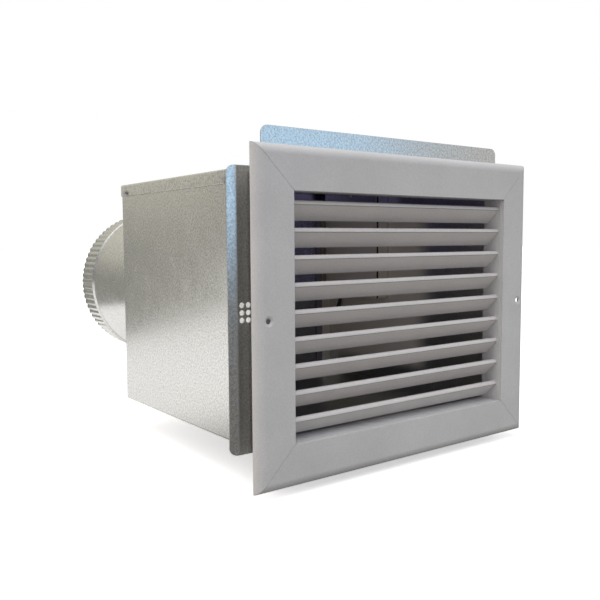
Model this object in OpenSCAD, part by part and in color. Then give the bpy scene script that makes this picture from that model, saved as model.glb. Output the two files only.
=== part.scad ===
// Wall-mounted heat recovery unit: sheet-metal casing, louvre grille, round duct collar,
// reversing axial fan and ceramic heat store.
// Origin: centre of the casing's mouth, in the flange plane. +Y runs into the wall, +Z is up.
// The grille faces -Y.

/* [Casing] */
// Outside width of the casing
box_w = 264; // [250:1:290]
// Outside height of the casing
box_h = 212; // [208:1:240]
// Depth of the casing behind the flange plane
box_d = 243; // [236:1:300]
// Thickness of the casing sheet
sheet = 0.8; // [0.6:0.1:1.2]
// Width of the side flange tabs
side_tab_w = 26.5; // [26:0.5:27]
// Height of the top and bottom flange tabs
end_tab_w = 28; // [20:1:32]
// Depth of the cover's down-turned lips
lip_h = 11; // [8:1:16]

/* [Flange holes] */
// Distance between neighbouring holes
hole_pitch = 5.4; // [5:0.1:7]
// Diameter of each hole
hole_d = 4; // [3:0.1:4.2]

/* [Duct collar] */
// Outside radius of the collar
collar_r = 89.7; // [88:0.1:91]
// Length of the collar behind the back panel
collar_len = 237; // [230:1:300]
// Length of the crimped end
crimp_len = 38; // [30:1:40]
// Height of the collar's axis above the middle of the casing
collar_z = -2.5; // [-4:0.5:2]

/* [Grille] */
// Outside width of the grille
grille_w = 298.4; // [290:0.1:306]
// Outside height of the grille
grille_h = 247.6; // [240:0.1:256]
// Width of each frame member's face
member_w = 32.5; // [30:0.1:34]
// Depth of the frame's rolled lip
lip_d = 7.2; // [6:0.1:9]
// Gap between the flange plane and the back of the frame
wall_gap = 14.3; // [12:0.1:16]
// Height of the grille's centre above the middle of the casing
grille_z = -5; // [-6:0.5:0]
// Number of louvre blades
blade_count = 9; // [8:1:9]
// Height from one blade to the next
blade_pitch = 19.85; // [19:0.05:20]

/* [Fan and heat store] */
// Number of rotor blades
rotor_blades = 7; // [5:1:9]
// Number of spider struts
struts = 5; // [3:1:6]
// Length of the ceramic heat store
core_len = 130; // [100:1:130]
// Distance between the channels of the heat store
cell_pitch = 8; // [7:0.5:12]
// Width of each square channel
cell_w = 6.2; // [5:0.1:6.4]

/* [Hidden] */
$fn = 96;
eps = 0.01;

// Casing
side_x = box_w / 2;
floor_z = -box_h / 2;
roof_z = box_h / 2 - sheet;
bend_r = 1.8;
tab_r = 6;
fold_w = 7.5;
fold_turn = 11;
side_tab_low = floor_z + 3;
wall_top = roof_z - bend_r + sheet;
side_tab_high = wall_top;
screw_y = [45, box_d - 11];
hole_x = side_x + 10.4;

// Collar
wall = 0.6;
collar_bore = collar_r - wall;
bead_y = box_d + collar_len - crimp_len - 3.5;
bead_r = 1.9;
collar_end = box_d + collar_len;
crimp_r = collar_r - 1;
crimp_bore = crimp_r - wall;
crimp_y = collar_end - crimp_len;
flange_r = collar_r + 8.6;
rivet_circle = collar_r + 4.6;

// Grille, counted from the flange plane towards the room (-Y)
frame_back = -wall_gap;
face_y = -wall_gap - lip_d;
open_x = grille_w / 2 - member_w;
open_z = grille_h / 2 - member_w;
skin = 2;
return_d = 3.2;
mitre_gap = 0.2;
grille_hole_x = 138.9;
rib_near = 6;
rib_far = 14.4;
rib_w = 1.2;
channel_t = 1.5;
foot = 17;
blade_half = open_x - 0.6;
top_blade_z = 85.2;
nose_r = 3.2;
blade_t = 1.2;
blade_front = face_y + 5.1;
blade_run = 12;
blade_drop = 14.6;

// Wiring compartment on the right inner wall
well_y = [143, 229.8];
well_z = [-12, 104.6];
well_x = side_x - sheet;
well_cover_x = 113.2;
gasket_t = 2.7;
board_x = 126;
gland_y = 205;
gland_z = 3;
grommet_y = 215;
grommet_x = 122.5;

// Fan, counted from the front of its plate
plate_t = 1.2;
plate_y = box_d - 4;
plate_half = 100;
plate_hole = 92;
fan_bore = 82;
fan_y = plate_y + plate_t;
shroud_len = 52;
hub_r = 30;
strut_turn = -22;
shaft_r = 2.5;
bearing_r = 6.5;
tube_r = 8.5;
stator_r = 25.2;
magnet_r = 25.8;

// Heat store
store_y = box_d + 57;
store_r = 80;
sleeve_r = collar_bore - 0.5;
seal_t = 2;

// A cylinder along Y from y0 to y1
module rod_y(r, y0, y1, at = [0, 0]) {
    translate([at[0], y1, at[1]])
        rotate([90, 0, 0])
            cylinder(r = r, h = y1 - y0);
}

// A tube along Y from y0 to y1
module tube_y(r_out, r_in, y0, y1, at = [0, 0]) {
    difference() {
        rod_y(r_out, y0, y1, at);
        rod_y(r_in, y0 - 1, y1 + 1, at);
    }
}

// A box given by its lowest and highest corners
module block(low, high) {
    translate(low)
        cube(high - low);
}

// Outline of a flange tab, its two outer corners rounded: width along X, height up from y = 0
module tab_outline(w, h, r) {
    translate([-w / 2, 0])
        square([w, h - r]);
    translate([-w / 2 + r, 0])
        square([w - 2 * r, h]);
    for (s = [-1, 1])
        translate([s * (w / 2 - r), h - r])
            circle(r);
}

// A flat tab in the flange plane, standing up from z = 0
module tab(w, h, r) {
    translate([0, sheet, 0])
        rotate([90, 0, 0])
            linear_extrude(sheet)
                tab_outline(w, h, r);
}

// A tab whose outer strip is turned back a little along a crease
module creased_tab(w, h) {
    crease = h - fold_w;
    rise = (fold_w + 1) * tan(fold_turn);
    intersection() {
        translate([0, 5, 0])
            rotate([90, 0, 0])
                linear_extrude(6)
                    tab_outline(w, h, tab_r);
        rotate([90, 0, 90])
            linear_extrude(w + 2, center = true)
                polygon([
                    [0, -1],
                    [0, crease],
                    [rise, h + 1],
                    [rise + sheet / cos(fold_turn), h + 1],
                    [sheet, crease - sheet * tan(fold_turn / 2)],
                    [sheet, -1]
                ]);
    }
}

// A U-shaped bent sheet as an outline: web at the top, legs down, rounded outer bends
module bent_u(w, h, r) {
    difference() {
        union() {
            translate([-w / 2, -h])
                square([w, h - r]);
            translate([-w / 2 + r, -h])
                square([w - 2 * r, h]);
            for (s = [-1, 1])
                translate([s * (w / 2 - r), -r])
                    circle(r);
        }
        translate([-w / 2 + sheet, -h - 1])
            square([w - 2 * sheet, h + 1 - r]);
        translate([-w / 2 + r, -h - 1])
            square([w - 2 * r, h + 1 - sheet]);
        for (s = [-1, 1])
            translate([s * (w / 2 - r), -r])
                circle(r - sheet);
    }
}

// The bent sheet as a trough along Y
module trough(w, h, r, y0, y1) {
    translate([0, y1, 0])
        rotate([90, 0, 0])
            linear_extrude(y1 - y0)
                bent_u(w, h, r);
}

module flange_holes(side) {
    for (c = [0, 1])
        for (r = [-1:1])
            rod_y(hole_d / 2, -1, sheet + 1, [side * (hole_x + c * hole_pitch), r * hole_pitch]);
}

module casing_shell() {
    color([0.72, 0.73, 0.72])
        difference() {
            union() {
                translate([0, 0, floor_z])
                    mirror([0, 0, 1])
                        trough(box_w, wall_top - floor_z, bend_r, 0, box_d);
                for (s = [-1, 1])
                    translate([s * (side_x - sheet), 0, (side_tab_high + side_tab_low) / 2])
                        rotate([0, s * 90, 0])
                            creased_tab(side_tab_high - side_tab_low, side_tab_w + sheet);
                translate([0, 0, floor_z + sheet])
                    rotate([0, 180, 0])
                        tab(box_w - 2 * bend_r, end_tab_w + sheet, tab_r);
            }
            flange_holes(-1);
            flange_holes(1);
            translate([side_x - sheet - 1, gland_y, gland_z])
                rotate([0, 90, 0])
                    cylinder(r = 8, h = sheet + 2);
        }
}

module top_cover() {
    color([0.74, 0.74, 0.71])
        union() {
            translate([0, 0, roof_z + sheet])
                trough(box_w + 2 * sheet, lip_h, bend_r, sheet, box_d + sheet);
            block(
                [-side_x + bend_r, box_d, roof_z + sheet - lip_h],
                [side_x - bend_r, box_d + sheet, roof_z + eps]
            );
            translate([0, 0, roof_z])
                tab(box_w - 2 * bend_r, end_tab_w + sheet, tab_r);
        }
}

// A hexagon-headed sheet-metal screw, head outwards along +Z, its shank through to -Z
module sheet_screw(head_r, head_h, shank_r, shank) {
    cylinder(r = head_r + 0.8, h = 0.6);
    cylinder(r = head_r, h = head_h, $fn = 6);
    translate([0, 0, -shank])
        cylinder(r = shank_r, h = shank + eps);
}

module cover_screws() {
    color([0.6, 0.6, 0.62])
        for (s = [-1, 1])
            for (y = screw_y)
                translate([s * (side_x + sheet), y, roof_z - 7.4])
                    rotate([0, s * 90, 0])
                        sheet_screw(2.3, 1.8, 1.2, 0);
}

module back_panel() {
    color([0.7, 0.71, 0.7])
        difference() {
            union() {
                block([-side_x + sheet, box_d - sheet, floor_z + sheet], [side_x - sheet, box_d, roof_z]);
                for (s = [-1, 1])
                    block(
                        [s * (side_x - 1.5 * sheet) - sheet / 2, box_d - 12, floor_z + 3],
                        [s * (side_x - 1.5 * sheet) + sheet / 2, box_d - sheet + eps, roof_z - 2]
                    );
                block([-side_x + 4, box_d - 12, floor_z + sheet], [side_x - 4, box_d - sheet + eps, floor_z + 2 * sheet]);
            }
            rod_y(collar_r + 0.1, box_d - 20, box_d + 1, [0, collar_z]);
        }
}

module duct_collar() {
    color([0.78, 0.79, 0.78])
        translate([0, 0, collar_z])
            difference() {
                union() {
                    rod_y(collar_r, box_d - 2 * sheet, crimp_y);
                    rod_y(crimp_r, crimp_y - eps, collar_end);
                    rod_y(flange_r, box_d - 2 * sheet, box_d - sheet);
                    translate([0, bead_y, 0])
                        rotate([90, 0, 0])
                            rotate_extrude()
                                translate([collar_r - 0.4, 0])
                                    circle(bead_r, $fn = 32);
                }
                rod_y(collar_bore, box_d - 10, crimp_y - wall);
                rod_y(crimp_bore, crimp_y - wall - eps, collar_end + 1);
            }
}

module collar_rivets() {
    color([0.66, 0.67, 0.68])
        for (i = [0:5])
            translate([
                rivet_circle * cos(30 + 60 * i),
                box_d - 2 * sheet,
                collar_z + rivet_circle * sin(30 + 60 * i)
            ])
                rotate([90, 0, 0])
                    cylinder(r1 = 2.6, r2 = 1.6, h = 1, $fn = 32);
}

// Outline of a frame member: u runs outwards from the opening, v back from the face
module member_outline() {
    difference() {
        union() {
            square([member_w - lip_d, lip_d]);
            translate([member_w - lip_d, lip_d])
                intersection() {
                    circle(lip_d);
                    translate([0, -lip_d])
                        square([lip_d, lip_d]);
                }
        }
        translate([skin, skin])
            square([rib_near - skin, lip_d]);
        translate([rib_near + rib_w, skin])
            square([rib_far - rib_near - rib_w, lip_d]);
        translate([rib_far + rib_w, skin])
            square([member_w - lip_d - rib_far - rib_w + eps, lip_d]);
        translate([member_w - lip_d, lip_d])
            circle(lip_d - skin);
        translate([-1, return_d])
            square([rib_near + 1, lip_d]);
        translate([rib_near - 1, lip_d - 1.6])
            square([rib_far + rib_w + 2 - rib_near, lip_d]);
    }
}

// A mitred frame member along X, above the opening
module member(half_len, half_gap) {
    intersection() {
        translate([0, face_y, half_gap])
            rotate([0, -90, 0])
                linear_extrude(2 * half_len, center = true)
                    member_outline();
        translate([0, frame_back + 1, half_gap])
            rotate([90, 0, 0])
                linear_extrude(lip_d + 2)
                    polygon([
                        [-half_len + member_w + mitre_gap / 2, 0],
                        [half_len - member_w - mitre_gap / 2, 0],
                        [half_len - mitre_gap / 2, member_w],
                        [-half_len + mitre_gap / 2, member_w]
                    ]);
    }
}

// A countersunk hole through a frame member's face
module face_hole(x) {
    rod_y(2.1, face_y - 1, face_y + lip_d, [x, 0]);
    translate([x, face_y + 1, 0])
        rotate([90, 0, 0])
            cylinder(r1 = 2.1, r2 = 3.9 + 1.8, h = 2);
}

module grille_end(turn) {
    color([0.9, 0.9, 0.9])
        translate([0, 0, grille_z])
            rotate([0, turn, 0])
                member(grille_w / 2, open_z);
}

module grille_side(side) {
    color([0.9, 0.9, 0.9])
        translate([0, 0, grille_z])
            difference() {
                rotate([0, side * 90, 0])
                    member(grille_h / 2, open_x);
                face_hole(side * grille_hole_x);
            }
}

module corner_keys() {
    key_in = rib_near + rib_w;
    key_w = rib_far - key_in;
    key_leg = 30;
    color([0.6, 0.6, 0.6])
        translate([0, 0, grille_z])
            for (sx = [-1, 1])
                for (sz = [-1, 1])
                    scale([sx, 1, sz])
                        translate([open_x + key_in, face_y + skin, open_z + key_in])
                            union() {
                                translate([-key_leg, 0, 0])
                                    cube([key_leg + key_w, 2.4, key_w]);
                                translate([0, 0, -key_leg])
                                    cube([key_w, 2.4, key_leg + key_w]);
                            }
}

// Side channel of the louvre core: a web beside the blades and a foot on the flange plane
module louvre_channel(side) {
    top = open_z + channel_t;
    color([0.88, 0.88, 0.88])
        translate([0, 0, grille_z])
            scale([side, 1, 1])
                union() {
                    block([blade_half, face_y + return_d, -open_z], [blade_half + channel_t, 0, open_z]);
                    block([blade_half + channel_t - eps, -channel_t, -top], [blade_half + foot, 0, top]);
                }
}

// End rail of the louvre core: a grooved web across the opening and a foot on the flange plane
module louvre_rail(side) {
    groove = 0.5;
    color([0.88, 0.88, 0.88])
        translate([0, 0, grille_z])
            scale([1, 1, side])
                union() {
                    difference() {
                        block(
                            [-blade_half - channel_t, face_y + return_d, open_z],
                            [blade_half + channel_t, 0, open_z + channel_t + groove]
                        );
                        for (i = [0:3])
                            block(
                                [-box_w, face_y + 5.5 + 3.6 * i, open_z - 1],
                                [box_w, face_y + 6.1 + 3.6 * i, open_z + groove]
                            );
                    }
                    block(
                        [-blade_half - channel_t, -channel_t, open_z + channel_t],
                        [blade_half + channel_t, 0, open_z + foot - 2]
                    );
                }
}

// Outline of a blade in the Y-Z plane: rounded nose at the front, then a face sloping back and down
module blade_outline() {
    nose_y = nose_r;
    start = [nose_y - nose_r + 0.35, -nose_r];
    finish = [blade_run, -blade_drop];
    slope = finish - start;
    normal = [-slope[1], slope[0]] / norm(slope) * blade_t;
    union() {
        translate([nose_y, -nose_r])
            intersection() {
                difference() {
                    circle(nose_r);
                    circle(nose_r - blade_t);
                }
                translate([-nose_r, 0])
                    square(nose_r + 0.8);
            }
        polygon([start, finish, finish + normal, start + normal + [0.2, 0.3], start + [0.6, 0.3]]);
    }
}

module louvre_blade(i) {
    color([0.87, 0.86, 0.85])
        translate([0, blade_front, grille_z + top_blade_z - (i - 1) * blade_pitch])
            rotate([90, 0, 90])
                linear_extrude(2 * blade_half, center = true)
                    blade_outline();
}

module wiring_box() {
    inner = [well_cover_x + sheet + gasket_t, well_y[0] + sheet, well_z[0] + sheet];
    color([0.7, 0.71, 0.7])
        difference() {
            block([inner[0], well_y[0], well_z[0]], [well_x, well_y[1], well_z[1]]);
            block([inner[0] - 1, inner[1], inner[2]], [well_x - sheet, well_y[1] - sheet, well_z[1] - sheet]);
            translate([well_x - sheet - 1, gland_y, gland_z])
                rotate([0, 90, 0])
                    cylinder(r = 8, h = sheet + 2);
            translate([grommet_x, grommet_y, well_z[0] - 1])
                cylinder(r = 3.5, h = sheet + 2);
        }
}

module wiring_screw_places() {
    for (z = [well_z[0] + 4, well_z[1] - 4])
        translate([well_cover_x, (well_y[0] + well_y[1]) / 2, z])
            rotate([0, -90, 0])
                children();
}

module wiring_cover() {
    color([0.71, 0.72, 0.71])
        block(
            [well_cover_x, well_y[0], well_z[0]],
            [well_cover_x + sheet, well_y[1], well_z[1]]
        );
}

module wiring_gasket() {
    x0 = well_cover_x + sheet;
    color([0.06, 0.06, 0.06])
        difference() {
            block([x0, well_y[0], well_z[0]], [x0 + gasket_t, well_y[1], well_z[1]]);
            block(
                [x0 - 1, well_y[0] + 6, well_z[0] + 6],
                [x0 + gasket_t + 1, well_y[1] - 6, well_z[1] - 6]
            );
        }
}

module wiring_screws() {
    color([0.6, 0.6, 0.62])
        wiring_screw_places()
            sheet_screw(2.6, 1.8, 1.2, 0);
}

board_low = [board_x, 152, 18];
board_high = [board_x + 1.6, 222, 94];

module control_board() {
    color([0.1, 0.35, 0.2])
        block(board_low, board_high);
}

module board_standoffs() {
    color([0.85, 0.85, 0.8])
        for (y = [board_low[1] + 5, board_high[1] - 5])
            for (z = [board_low[2] + 5, board_high[2] - 5])
                translate([board_high[0], y, z])
                    rotate([0, 90, 0])
                        cylinder(r = 3, h = well_x - sheet - board_high[0]);
}

module terminal_block() {
    ways = 4;
    way = 8;
    color([0.15, 0.4, 0.25])
        difference() {
            block([board_x - 8.4, 160, 20], [board_x, 160 + ways * way, 30]);
            for (i = [0:ways - 1])
                translate([board_x - 9, 160 + way * (i + 0.5), 25])
                    rotate([0, 90, 0])
                        cylinder(r = 2.2, h = 4);
        }
}

module power_supply() {
    color([0.12, 0.12, 0.13])
        block([board_x - 8, 165, 50], [board_x, 210, 84]);
}

module cable_gland() {
    color([0.2, 0.2, 0.21])
        translate([side_x, gland_y, gland_z])
            rotate([0, 90, 0])
                difference() {
                    union() {
                        translate([0, 0, -6.5])
                            cylinder(r = 7.9, h = 6.5 + eps);
                        cylinder(r = 11.5, h = 4, $fn = 6);
                        translate([0, 0, 4 - eps])
                            cylinder(r = 9.6, h = 7);
                        translate([0, 0, 11 - 2 * eps])
                            cylinder(r1 = 9.6, r2 = 7, h = 2.4);
                    }
                    translate([0, 0, -8])
                        cylinder(r = 4, h = 30);
                }
}

module gland_nut() {
    color([0.22, 0.22, 0.23])
        translate([well_x - sheet - 3.6, gland_y, gland_z])
            rotate([0, 90, 0])
                difference() {
                    cylinder(r = 10.6, h = 3.6, $fn = 6);
                    translate([0, 0, -1])
                        cylinder(r = 7.9, h = 6);
                }
}

module lead_grommet() {
    color([0.05, 0.05, 0.05])
        translate([grommet_x, grommet_y, well_z[0]])
            difference() {
                union() {
                    translate([0, 0, -1.6])
                        cylinder(r = 5, h = 1.6);
                    translate([0, 0, -eps])
                        cylinder(r = 3.5, h = sheet + 2 * eps);
                    translate([0, 0, sheet])
                        cylinder(r = 5, h = 1.4);
                }
                translate([0, 0, -5])
                    cylinder(r = 2.2, h = 10);
            }
}

// Route of the fan lead, from the compartment to the motor
lead_r = 2.1;
lead_face = plate_y - lead_r - 0.4;
lead_hole_at = 15;
lead_bend = 3.3;
function on_strut(r, y) = [r * cos(strut_turn), y, collar_z + r * sin(strut_turn)];
lead_points = [
    [grommet_x, grommet_y, 4],
    [grommet_x, grommet_y, -6],
    [grommet_x, grommet_y, -15],
    [grommet_x, grommet_y, -21],
    [120, 219, -31],
    [114, 226, -38],
    [106, 232, -42],
    on_strut(103, lead_face),
    on_strut(90, lead_face),
    on_strut(76, lead_face),
    on_strut(58, lead_face),
    on_strut(42, lead_face),
    on_strut(26, lead_face),
    on_strut(lead_hole_at + lead_bend, lead_face),
    on_strut(lead_hole_at + 0.3 * lead_bend, lead_face + 0.3 * lead_bend),
    on_strut(lead_hole_at, lead_face + lead_bend),
    on_strut(lead_hole_at, fan_y + 2.4)
];

// A smooth curve through the points, four steps to each stretch
function spline(p0, p1, p2, p3, t) =
    0.5 * (2 * p1 + (p2 - p0) * t + (2 * p0 - 5 * p1 + 4 * p2 - p3) * t * t
    + (3 * p1 - p0 - 3 * p2 + p3) * t * t * t);
function smooth_route(p, steps) = concat(
    [for (i = [0:len(p) - 2])
        for (k = [0:steps - 1])
            spline(p[max(i - 1, 0)], p[i], p[i + 1], p[min(i + 2, len(p) - 1)], k / steps)],
    [p[len(p) - 1]]
);
function unit(v) = v / norm(v);
function tangent(p, i) = unit(p[min(i + 1, len(p) - 1)] - p[max(i - 1, 0)]);

// A round tube swept along a route
module swept_tube(route, r, sides) {
    n = len(route);
    guide = [0.31, 0.52, 0.8];
    rings = [for (i = [0:n - 1])
        let (t = tangent(route, i), a = unit(cross(t, guide)), b = cross(t, a))
            for (k = [0:sides - 1])
                route[i] + r * (cos(360 * k / sides) * a + sin(360 * k / sides) * b)];
    walls = [for (i = [0:n - 2])
        for (k = [0:sides - 1])
            let (m = (k + 1) % sides)
                [i * sides + k, i * sides + m, (i + 1) * sides + m, (i + 1) * sides + k]];
    ends = [
        [for (k = [0:sides - 1]) sides - 1 - k],
        [for (k = [0:sides - 1]) (n - 1) * sides + k]
    ];
    polyhedron(rings, concat(walls, ends));
}

module fan_lead() {
    color([0.08, 0.08, 0.08])
        swept_tube(smooth_route(lead_points, 4), lead_r, 10);
}

module fan_plate() {
    color([0.7, 0.71, 0.7])
        translate([0, 0, collar_z])
            difference() {
                union() {
                    block([-plate_half, plate_y, -plate_half], [plate_half, fan_y, plate_half]);
                    for (sx = [-1, 1])
                        for (sz = [-1, 1])
                            rod_y(5, fan_y - eps, box_d - sheet, [sx * plate_hole, sz * plate_hole]);
                }
                rod_y(fan_bore, plate_y - 1, fan_y + 1);
            }
}

module fan_plate_screws() {
    color([0.6, 0.6, 0.62])
        for (sx = [-1, 1])
            for (sz = [-1, 1])
                translate([sx * plate_hole, plate_y, collar_z + sz * plate_hole])
                    rotate([90, 0, 0])
                        sheet_screw(3.2, 2.4, 1.6, 0);
}

module finger_guard() {
    wire = 1.1;
    guard_y = plate_y - 6.5;
    color([0.25, 0.25, 0.26])
        translate([0, 0, collar_z])
            union() {
                for (r = [12:14:82])
                    translate([0, guard_y, 0])
                        rotate([90, 0, 0])
                            rotate_extrude()
                                translate([r, 0])
                                    circle(wire, $fn = 24);
                for (a = [45:90:315])
                    rotate([0, a, 0]) {
                        translate([10, guard_y + 1.3, 0])
                            rotate([0, 90, 0])
                                cylinder(r = wire, h = 77, $fn = 24);
                        rod_y(wire, guard_y, plate_y, [86, 0]);
                    }
            }
}

module fan_shroud() {
    base_t = 3;
    rim_t = 4;
    color([0.16, 0.16, 0.17])
        translate([0, 0, collar_z])
            union() {
                tube_y(fan_bore + 2.4, fan_bore, fan_y, fan_y + shroud_len);
                for (y = [fan_y, fan_y + shroud_len - rim_t])
                    tube_y(sleeve_r, fan_bore + 2, y, y + rim_t);
                difference() {
                    union() {
                        rod_y(27, fan_y, fan_y + base_t);
                        rod_y(tube_r, fan_y + base_t - eps, fan_y + 26);
                    }
                    rod_y(bearing_r, fan_y + base_t, fan_y + 27);
                    rotate([0, -strut_turn, 0])
                        rod_y(lead_r + 0.5, fan_y - 1, fan_y + base_t + 1, [lead_hole_at, 0]);
                }
                for (i = [0:struts - 1])
                    rotate([0, -strut_turn - 360 / struts * i, 0])
                        block([26, fan_y, -3], [fan_bore + 1, fan_y + base_t, 3]);
            }
}

module motor_stator() {
    teeth = 9;
    color([0.7, 0.4, 0.2])
        translate([0, 0, collar_z])
            difference() {
                rod_y(stator_r, fan_y + 6, fan_y + 20);
                rod_y(tube_r, fan_y, fan_y + 30);
                for (i = [0:teeth - 1])
                    rotate([0, 360 / teeth * i, 0])
                        block([14, fan_y, -1.2], [stator_r + 1, fan_y + 30, 1.2]);
            }
}

module bearing(y0) {
    color([0.75, 0.75, 0.77])
        translate([0, 0, collar_z])
            tube_y(bearing_r, shaft_r + 0.04, y0, y0 + 4);
}

// One rotor blade: a cambered section carried out from the hub
module rotor_blade() {
    chord = 17;
    rise = 13;
    steps = 8;
    bow = 2.6;
    thick = 1.8;
    function camber(t) = [
        chord * (t - 0.5) * 1.7,
        rise * (t - 0.5) + bow * sin(180 * t)
    ];
    front = [for (k = [0:steps]) camber(k / steps)];
    back = [for (k = [steps:-1:0]) camber(k / steps) + [0, thick * (0.45 + 0.55 * sin(180 * k / steps))]];
    translate([0, fan_y + 17, 0])
        rotate([90, 0, 90])
            linear_extrude(fan_bore)
                polygon([for (p = concat(front, back)) [p[1], p[0]]]);
}

module fan_rotor() {
    color([0.14, 0.14, 0.15])
        translate([0, 0, collar_z])
            union() {
                difference() {
                    rod_y(hub_r, fan_y + 7, fan_y + 31);
                    rod_y(hub_r - 2, fan_y + 6, fan_y + 28.5);
                }
                difference() {
                    rod_y(6, fan_y + 27, fan_y + 30);
                    rod_y(shaft_r, fan_y + 26, fan_y + 28.5);
                }
                intersection() {
                    union()
                        for (i = [0:rotor_blades - 1])
                            rotate([0, 360 / rotor_blades * i, 0])
                                rotor_blade();
                    tube_y(fan_bore - 0.8, hub_r - 0.5, fan_y + 4, fan_y + 40);
                }
            }
}

module rotor_magnet() {
    color([0.3, 0.3, 0.32])
        translate([0, 0, collar_z])
            tube_y(hub_r - 2, magnet_r, fan_y + 8, fan_y + 22);
}

module fan_shaft() {
    color([0.8, 0.8, 0.82])
        translate([0, 0, collar_z])
            rod_y(shaft_r, fan_y + 3.8, fan_y + 28.5);
}

module shaft_clip() {
    color([0.5, 0.5, 0.52])
        translate([0, 0, collar_z])
            tube_y(4.4, shaft_r, fan_y + 4, fan_y + 4.6);
}

filter_half = 99;
filter_y = plate_y - 20;

module filter_frame() {
    wall_t = 2.4;
    color([0.2, 0.2, 0.21])
        translate([0, 0, collar_z])
            difference() {
                block([-filter_half, filter_y, -filter_half], [filter_half, plate_y, filter_half]);
                block(
                    [-filter_half + wall_t, filter_y + 1.6, -filter_half + wall_t],
                    [filter_half - wall_t, plate_y + 1, filter_half - wall_t]
                );
                block(
                    [-filter_half + 8, filter_y - 1, -filter_half + 8],
                    [filter_half - 8, filter_y + 3, filter_half - 8]
                );
                for (sx = [-1, 1])
                    for (sz = [-1, 1])
                        block(
                            [sx * 94 - 9, plate_y - 4, sz * 94 - 9],
                            [sx * 94 + 9, plate_y + 1, sz * 94 + 9]
                        );
                block([90, lead_face - 4, -48], [100, plate_y + 1, -30]);
            }
}

module filter_pad() {
    color([0.35, 0.38, 0.42])
        translate([0, 0, collar_z])
            block([-96.2, filter_y + 1.6, -96.2], [96.2, filter_y + 11, 96.2]);
}

// A ceramic honeycomb: a round block with straight square channels
module heat_store() {
    reach = floor(store_r / cell_pitch);
    clear_r = store_r - 2 - cell_w * 0.71;
    color([0.86, 0.84, 0.8])
        translate([0, store_y + core_len, collar_z])
            rotate([90, 0, 0])
                linear_extrude(core_len)
                    difference() {
                        circle(store_r);
                        for (i = [-reach:reach])
                            for (k = [-reach:reach])
                                if (norm([i, k]) * cell_pitch < clear_r)
                                    translate([i * cell_pitch, k * cell_pitch])
                                        square(cell_w, center = true);
                    }
}

module store_sleeve() {
    color([0.2, 0.2, 0.2])
        translate([0, 0, collar_z])
            tube_y(sleeve_r, store_r, store_y, store_y + core_len);
}

module store_seal(y0) {
    color([0.1, 0.1, 0.1])
        translate([0, 0, collar_z])
            tube_y(sleeve_r, store_r - 5, y0, y0 + seal_t);
}

module retaining_ring() {
    wire = 1.6;
    color([0.7, 0.7, 0.72])
        translate([0, store_y + core_len + seal_t + wire, collar_z])
            rotate([90, 0, 0])
                rotate_extrude()
                    translate([collar_bore - wire - 0.05, 0])
                        circle(wire, $fn = 24);
}

casing_shell();
top_cover();
cover_screws();
back_panel();
duct_collar();
collar_rivets();
grille_end(0);  // grille_top
grille_end(180);  // grille_bottom
grille_side(-1);  // grille_left
grille_side(1);  // grille_right
corner_keys();
louvre_channel(-1);  // louvre_channel_left
louvre_channel(1);  // louvre_channel_right
louvre_rail(1);  // louvre_rail_top
louvre_rail(-1);  // louvre_rail_bottom
for (i = [1:blade_count])
    louvre_blade(i);
wiring_box();
wiring_cover();
wiring_gasket();
wiring_screws();
control_board();
board_standoffs();
terminal_block();
power_supply();
cable_gland();
gland_nut();
lead_grommet();
fan_lead();
fan_plate();
fan_plate_screws();
finger_guard();
fan_shroud();
motor_stator();
bearing(fan_y + 5);  // bearing_front
bearing(fan_y + 22);  // bearing_rear
fan_rotor();
rotor_magnet();
fan_shaft();
shaft_clip();
filter_frame();
filter_pad();
heat_store();
store_sleeve();
store_seal(store_y - seal_t);  // store_seal_front
store_seal(store_y + core_len);  // store_seal_rear
retaining_ring();
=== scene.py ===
"""Looks for a wall-mounted heat recovery unit: finishes for its sheet metal, louvre grille and inner
parts, the corrugated duct collar, the filter mat, the motor windings and the studio around them."""
import math

import bmesh
import bpy
import numpy as np
from bpy.props import FloatProperty, FloatVectorProperty, IntProperty, PointerProperty
from mathutils import Matrix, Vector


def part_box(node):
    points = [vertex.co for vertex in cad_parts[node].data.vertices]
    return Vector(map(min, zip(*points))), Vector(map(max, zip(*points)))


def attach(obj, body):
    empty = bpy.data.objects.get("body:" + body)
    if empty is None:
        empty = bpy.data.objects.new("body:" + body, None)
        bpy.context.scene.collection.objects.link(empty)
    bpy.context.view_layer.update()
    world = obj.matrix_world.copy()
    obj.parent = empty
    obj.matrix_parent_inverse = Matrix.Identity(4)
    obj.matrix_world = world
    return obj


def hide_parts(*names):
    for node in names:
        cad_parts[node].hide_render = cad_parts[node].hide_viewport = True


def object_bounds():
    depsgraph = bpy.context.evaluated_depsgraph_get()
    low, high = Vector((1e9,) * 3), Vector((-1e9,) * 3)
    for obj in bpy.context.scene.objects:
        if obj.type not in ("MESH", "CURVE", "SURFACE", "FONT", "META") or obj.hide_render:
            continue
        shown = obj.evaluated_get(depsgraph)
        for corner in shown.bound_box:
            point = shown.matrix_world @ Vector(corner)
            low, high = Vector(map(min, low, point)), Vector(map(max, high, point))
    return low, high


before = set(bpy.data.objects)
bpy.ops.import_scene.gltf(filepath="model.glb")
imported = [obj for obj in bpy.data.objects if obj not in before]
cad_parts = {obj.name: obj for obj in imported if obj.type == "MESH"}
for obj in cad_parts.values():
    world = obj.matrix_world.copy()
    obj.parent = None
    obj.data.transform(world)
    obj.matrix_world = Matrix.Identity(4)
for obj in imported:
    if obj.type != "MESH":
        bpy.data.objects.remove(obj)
cad_low, cad_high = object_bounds()

bl_info = {
    "name": "Heat Recovery Unit",
    "version": (1, 0, 0),
    "blender": (4, 5, 0),
    "location": "View3D > Sidebar > Heat Recovery",
    "description": "Finishes and detail pieces for a ducted heat recovery unit with a louvre grille",
    "category": "Add Mesh",
}

MM = 0.001
CASING = "casing"
GROOVE_DROP = 3.3 * MM

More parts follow.
